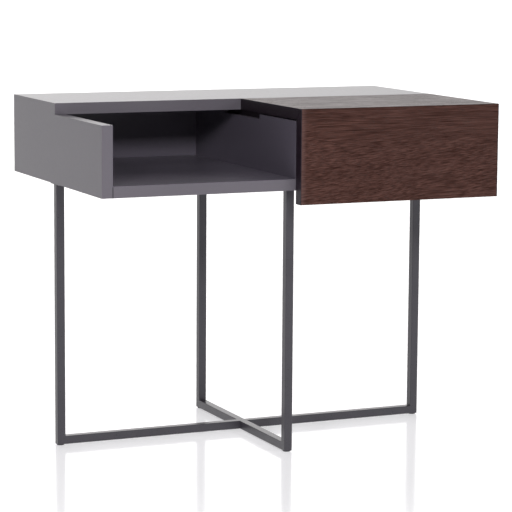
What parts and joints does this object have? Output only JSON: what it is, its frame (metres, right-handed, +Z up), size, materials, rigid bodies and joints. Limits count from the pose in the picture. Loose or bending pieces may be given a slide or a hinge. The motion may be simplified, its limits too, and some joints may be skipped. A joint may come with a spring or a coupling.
{
  "type": "side table with drawer",
  "caption": "Side table with an open grey compartment, a walnut top and drawer front overhanging as a finger grip, on crossed square-tube floor frames.",
  "frame": {"origin": "on the floor under the centre of the overall width and depth", "axes": "+X to the right seen from the front, +Y to the rear, +Z up; the drawer opens towards -Y"},
  "size_m": [0.6, 0.4, 0.499],
  "materials": {
    "grey_lacquer": "satin grey lacquer on board",
    "walnut_veneer": "open-grain dark walnut veneer, matt lacquer",
    "dark_edging": "satin dark edging",
    "grey_foil": "matt grey foil on drawer board",
    "rail_board": "dark stained plywood",
    "dowel_wood": "plain beech",
    "anthracite_powder": "satin anthracite powder coat",
    "white_epoxy_steel": "smooth white epoxy coat",
    "zinc_steel": "bright zinc plated",
    "nylon": "moulded nylon",
    "glide_plastic": "black moulded plastic"
  },
  "bodies": {
    "carcass": {"back_panel": "grey_lacquer", "bottom_panel": "grey_lacquer", "cabinet_axle_left": "zinc_steel", "cabinet_axle_right": "zinc_steel", "cabinet_runner_left": "white_epoxy_steel", "cabinet_runner_right": "white_epoxy_steel", "cabinet_runner_screws": "zinc_steel", "carcass_dowels": "dowel_wood", "divider": "grey_lacquer", "floor_bar_across": "anthracite_powder", "floor_bar_front": "anthracite_powder", "floor_bar_rear": "anthracite_powder", "front_support_rail": "rail_board", "glide_front": "glide_plastic", "glide_left": "glide_plastic", "glide_rear": "glide_plastic", "glide_right": "glide_plastic", "left_side_panel": "grey_lacquer", "leg_front": "anthracite_powder", "leg_left": "anthracite_powder", "leg_plate_front": "anthracite_powder", "leg_plate_left": "anthracite_powder", "leg_plate_rear": "anthracite_powder", "leg_plate_right": "anthracite_powder", "leg_plate_screws": "zinc_steel", "leg_rear": "anthracite_powder", "leg_right": "anthracite_powder", "rail_screws": "zinc_steel", "rear_support_rail": "rail_board", "right_side_panel": "grey_lacquer", "top_screws": "zinc_steel", "top_strip": "grey_lacquer", "walnut_top": "walnut_veneer", "walnut_top_band_left": "dark_edging", "walnut_top_band_right": "dark_edging"},
    "drawer": {"drawer_axle_left": "zinc_steel", "drawer_axle_right": "zinc_steel", "drawer_bottom": "grey_foil", "drawer_box_back": "grey_foil", "drawer_box_dowels": "dowel_wood", "drawer_box_front": "grey_foil", "drawer_front": "walnut_veneer", "drawer_front_band_left": "dark_edging", "drawer_front_band_right": "dark_edging", "drawer_front_screws": "zinc_steel", "drawer_runner_left": "white_epoxy_steel", "drawer_runner_right": "white_epoxy_steel", "drawer_runner_screws": "zinc_steel", "drawer_side_left": "grey_foil", "drawer_side_right": "grey_foil"},
    "cabinet_roller_left_body": {"cabinet_roller_left": "nylon"},
    "drawer_roller_left_body": {"drawer_roller_left": "nylon"},
    "cabinet_roller_right_body": {"cabinet_roller_right": "nylon"},
    "drawer_roller_right_body": {"drawer_roller_right": "nylon"}
  },
  "joints": [
    {"name": "drawer_slide", "type": "slide", "parent": "carcass", "child": "drawer", "axis": [0, -1, 0], "range_m": [0, 0.26]},
    {"name": "cabinet_roller_left_spin", "type": "hinge", "parent": "carcass", "child": "cabinet_roller_left_body", "pos_m": [0.0082, -0.165, 0.4171], "axis": [1, 0, 0], "range_deg": [0, 1864]},
    {"name": "cabinet_roller_right_spin", "type": "hinge", "parent": "carcass", "child": "cabinet_roller_right_body", "pos_m": [0.2788, -0.165, 0.4171], "axis": [1, 0, 0], "range_deg": [0, 1864]},
    {"name": "drawer_roller_left_spin", "type": "hinge", "parent": "drawer", "child": "drawer_roller_left_body", "pos_m": [0.0103, 0.15, 0.415], "axis": [1, 0, 0], "range_deg": [0, 1864]},
    {"name": "drawer_roller_right_spin", "type": "hinge", "parent": "drawer", "child": "drawer_roller_right_body", "pos_m": [0.2767, 0.15, 0.415], "axis": [1, 0, 0], "range_deg": [0, 1864]}
  ],
  "couplings": [
    {"joint": "cabinet_roller_left_spin", "follows": "drawer_slide", "rad_per_m": 125},
    {"joint": "cabinet_roller_right_spin", "follows": "drawer_slide", "rad_per_m": 125},
    {"joint": "drawer_roller_left_spin", "follows": "drawer_slide", "rad_per_m": 125},
    {"joint": "drawer_roller_right_spin", "follows": "drawer_slide", "rad_per_m": 125}
  ]
}
